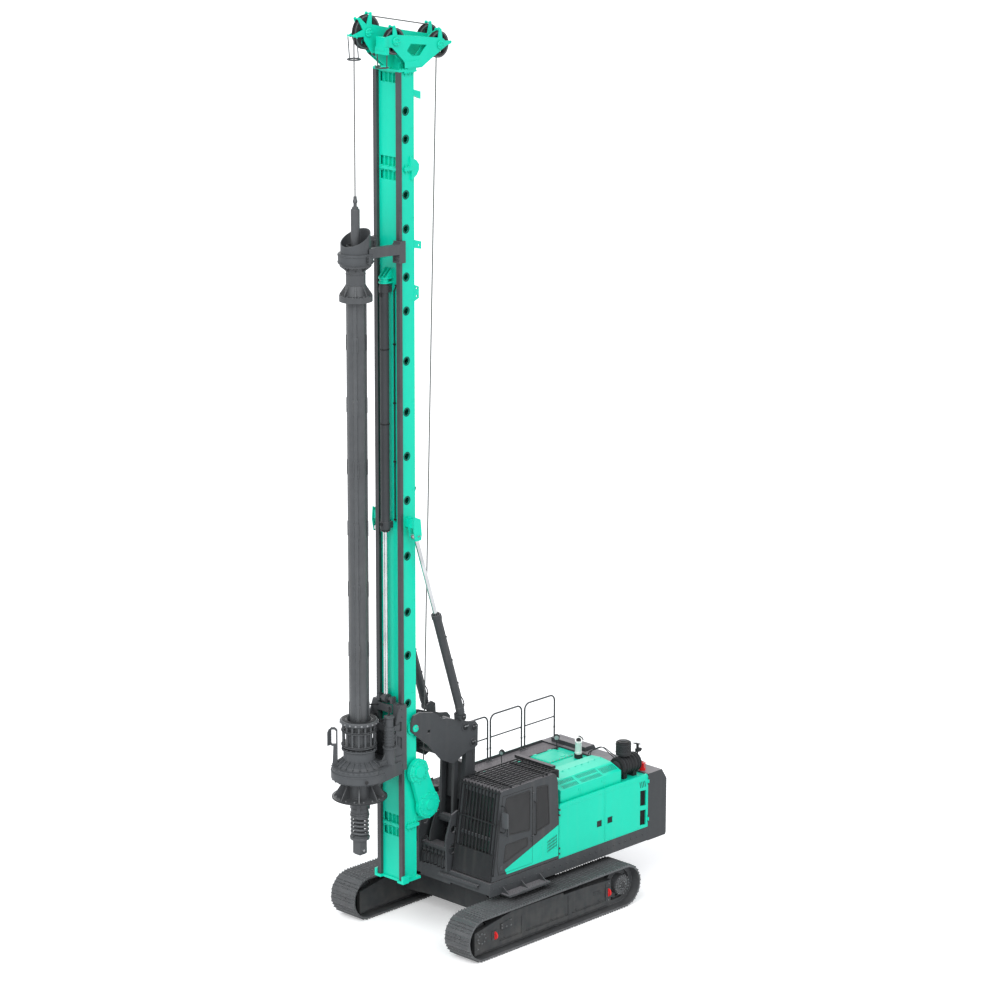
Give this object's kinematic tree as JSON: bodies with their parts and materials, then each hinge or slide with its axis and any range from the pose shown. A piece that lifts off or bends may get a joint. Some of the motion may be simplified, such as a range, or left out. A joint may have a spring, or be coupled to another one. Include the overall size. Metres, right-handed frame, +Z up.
{
  "type": "rotary piling rig",
  "caption": "Rotary drilling rig for bored piles, with a tracked base, slewing upper, cab, luffing linkage, leader mast, rotary drive and telescopic drill string.",
  "frame": {"origin": "on the ground, on the slewing axis of the upper machine", "axes": "+X forward to the mast, +Y to the left (cab side), +Z up"},
  "size_m": [7.5398, 3.74, 17.7958],
  "materials": {
    "green_paint": "semi-gloss enamel",
    "charcoal_paint": "satin enamel",
    "track_steel": "worn dark steel",
    "chrome_rod": "polished hard chrome",
    "bright_steel": "bare steel",
    "wire_rope": "greased strands",
    "window_glass": "tinted clear",
    "seat_cover": "woven",
    "red_paint": "gloss enamel"
  },
  "bodies": {
    "root": {"track_left": "track_steel", "track_right": "track_steel", "track_frame_left": "charcoal_paint", "track_frame_right": "charcoal_paint", "track_wheels_left": "track_steel", "track_wheels_right": "track_steel", "undercarriage": "charcoal_paint", "tie_down_lugs": "red_paint"},
    "upper": {"upper_deck": "charcoal_paint", "cab_floor": "charcoal_paint", "cab_roof": "charcoal_paint", "cab_right_wall": "charcoal_paint", "cab_rear_wall": "charcoal_paint", "cab_front_frame": "charcoal_paint", "cab_left_wall": "charcoal_paint", "cab_side_panel": "green_paint", "cab_glass": "window_glass", "cab_guards": "charcoal_paint", "cab_seat": "seat_cover", "engine_housing": "charcoal_paint", "engine_and_tank": "charcoal_paint", "counterweight": "charcoal_paint", "handrails": "charcoal_paint", "exhaust_and_air_cleaner": "bright_steel", "beacon": "red_paint"},
    "boom": {"boom": "charcoal_paint"},
    "luff_link": {"luff_link": "charcoal_paint"},
    "luff_barrels": {"luff_cylinder_barrels": "charcoal_paint"},
    "luff_rods": {"luff_cylinder_rods": "chrome_rod"},
    "carrier": {"mast_carrier": "charcoal_paint"},
    "mast_barrels": {"mast_cylinder_barrels": "charcoal_paint"},
    "mast_rods": {"mast_cylinder_rods": "chrome_rod"},
    "mast": {"mast_lower_section": "green_paint", "mast_main_section": "green_paint", "mast_top_section": "green_paint", "guide_rails": "charcoal_paint", "crowd_cylinder": "charcoal_paint", "mast_head": "green_paint", "winch_frame": "green_paint", "hoist_rope": "wire_rope"},
    "winch_drum": {"winch_drum": "charcoal_paint"},
    "sheave_main_front": {"sheave_main_front": "charcoal_paint"},
    "sheave_main_rear": {"sheave_main_rear": "charcoal_paint"},
    "sheave_aux_front": {"sheave_aux_front": "charcoal_paint"},
    "sheave_aux_rear": {"sheave_aux_rear": "charcoal_paint"},
    "carriage": {"drive_carriage": "charcoal_paint", "crowd_rod": "chrome_rod"},
    "drive_sleeve": {"drive_sleeve": "charcoal_paint"},
    "kelly_guide": {"kelly_guide": "charcoal_paint"},
    "kelly_bar": {"kelly_bar": "charcoal_paint"},
    "kelly_core": {"kelly_core": "charcoal_paint"},
    "cab_door": {"cab_door": "charcoal_paint", "cab_door_panel": "green_paint", "door_glass": "window_glass"},
    "door_left_front": {"side_door_left_front": "green_paint"},
    "door_left_rear": {"side_door_left_rear": "green_paint"},
    "door_right_front": {"side_door_right_front": "green_paint"},
    "door_right_rear": {"side_door_right_rear": "green_paint"},
    "hood": {"hood": "green_paint", "hood_louvres": "green_paint"}
  },
  "joints": [
    {"name": "slew", "type": "hinge", "parent": "root", "child": "upper", "pos_m": [0, 0, 0.94], "axis": [0, 0, 1], "continuous": true},
    {"name": "boom_luff", "type": "hinge", "parent": "upper", "child": "boom", "pos_m": [0.844, 0, 1.811], "axis": [0, 1, 0], "range_deg": [-10, 15]},
    {"name": "link_swing", "type": "hinge", "parent": "upper", "child": "luff_link", "pos_m": [1.06, 0, 2.16], "axis": [0, 1, 0], "range_deg": [-10, 15]},
    {"name": "luff_barrel_swing", "type": "hinge", "parent": "upper", "child": "luff_barrels", "pos_m": [-0.25, 0, 1.59], "axis": [0, 1, 0], "range_deg": [-6, 9]},
    {"name": "luff_rod_slide", "type": "slide", "parent": "luff_barrels", "child": "luff_rods", "axis": [0.5094, 0, 0.8605], "range_m": [-0.16, 0.23]},
    {"name": "carrier_level", "type": "hinge", "parent": "boom", "child": "carrier", "pos_m": [0.784, 0, 3.711], "axis": [0, 1, 0], "range_deg": [-15, 10]},
    {"name": "mast_tilt", "type": "hinge", "parent": "carrier", "child": "mast", "pos_m": [2.31, 0, 4.35], "axis": [0, 1, 0], "range_deg": [-15, 5]},
    {"name": "mast_barrel_swing", "type": "hinge", "parent": "carrier", "child": "mast_barrels", "pos_m": [1.17, 0, 4.33], "axis": [0, 1, 0], "range_deg": [-15, 6]},
    {"name": "mast_rod_slide", "type": "slide", "parent": "mast_barrels", "child": "mast_rods", "axis": [0.3052, 0, 0.9523], "range_m": [-0.31, 0.11]},
    {"name": "winch_spin", "type": "hinge", "parent": "mast", "child": "winch_drum", "pos_m": [1.935, 0, 2.78], "axis": [0, 1, 0], "continuous": true},
    {"name": "main_front_spin", "type": "hinge", "parent": "mast", "child": "sheave_main_front", "pos_m": [3.096, 0, 17.44], "axis": [0, 1, 0], "continuous": true},
    {"name": "main_rear_spin", "type": "hinge", "parent": "mast", "child": "sheave_main_rear", "pos_m": [1.56, 0, 17.18], "axis": [0, 1, 0], "continuous": true},
    {"name": "aux_front_spin", "type": "hinge", "parent": "mast", "child": "sheave_aux_front", "pos_m": [2.7, 0.29, 17.265], "axis": [0, 1, 0], "continuous": true},
    {"name": "aux_rear_spin", "type": "hinge", "parent": "mast", "child": "sheave_aux_rear", "pos_m": [1.585, 0.29, 17.09], "axis": [0, 1, 0], "continuous": true},
    {"name": "crowd_slide", "type": "slide", "parent": "mast", "child": "carriage", "axis": [0, 0, 1], "range_m": [-1, 2.9]},
    {"name": "drive_spin", "type": "hinge", "parent": "carriage", "child": "drive_sleeve", "pos_m": [3.39, 0, 3.9], "axis": [0, 0, 1], "continuous": true},
    {"name": "kelly_hoist", "type": "slide", "parent": "mast", "child": "kelly_guide", "axis": [0, 0, 1], "range_m": [-7.9, 1.9]},
    {"name": "kelly_spin", "type": "hinge", "parent": "kelly_guide", "child": "kelly_bar", "pos_m": [3.39, 0, 13.3], "axis": [0, 0, 1], "continuous": true},
    {"name": "core_slide", "type": "slide", "parent": "kelly_bar", "child": "kelly_core", "axis": [0, 0, 1], "range_m": [-9.5, 0]},
    {"name": "cab_door_swing", "type": "hinge", "parent": "upper", "child": "cab_door", "pos_m": [0.238, 1.464, 2.1], "axis": [0, 0, 1], "range_deg": [0, 100]},
    {"name": "left_front_door_swing", "type": "hinge", "parent": "upper", "child": "door_left_front", "pos_m": [-0.506, 1.464, 1.8], "axis": [0, 0, -1], "range_deg": [0, 90]},
    {"name": "left_rear_door_swing", "type": "hinge", "parent": "upper", "child": "door_left_rear", "pos_m": [-3.044, 1.464, 1.8], "axis": [0, 0, 1], "range_deg": [0, 90]},
    {"name": "right_front_door_swing", "type": "hinge", "parent": "upper", "child": "door_right_front", "pos_m": [-0.506, -1.464, 1.8], "axis": [0, 0, 1], "range_deg": [0, 90]},
    {"name": "right_rear_door_swing", "type": "hinge", "parent": "upper", "child": "door_right_rear", "pos_m": [-3.044, -1.464, 1.8], "axis": [0, 0, -1], "range_deg": [0, 90]},
    {"name": "hood_lift", "type": "hinge", "parent": "upper", "child": "hood", "pos_m": [-1.46, 0.586, 2.3633], "axis": [1, 0, 0], "range_deg": [0, 60]}
  ],
  "couplings": [
    {"joint": "link_swing", "follows": "boom_luff", "ratio": 1},
    {"joint": "carrier_level", "follows": "boom_luff", "ratio": -1},
    {"joint": "luff_barrel_swing", "follows": "boom_luff", "ratio": 0.5239},
    {"joint": "luff_rod_slide", "follows": "boom_luff", "m_per_rad": 0.80987},
    {"joint": "mast_barrel_swing", "follows": "mast_tilt", "ratio": 0.92798},
    {"joint": "mast_rod_slide", "follows": "mast_tilt", "m_per_rad": 1.1065},
    {"joint": "drive_spin", "follows": "kelly_spin", "ratio": 1}
  ]
}
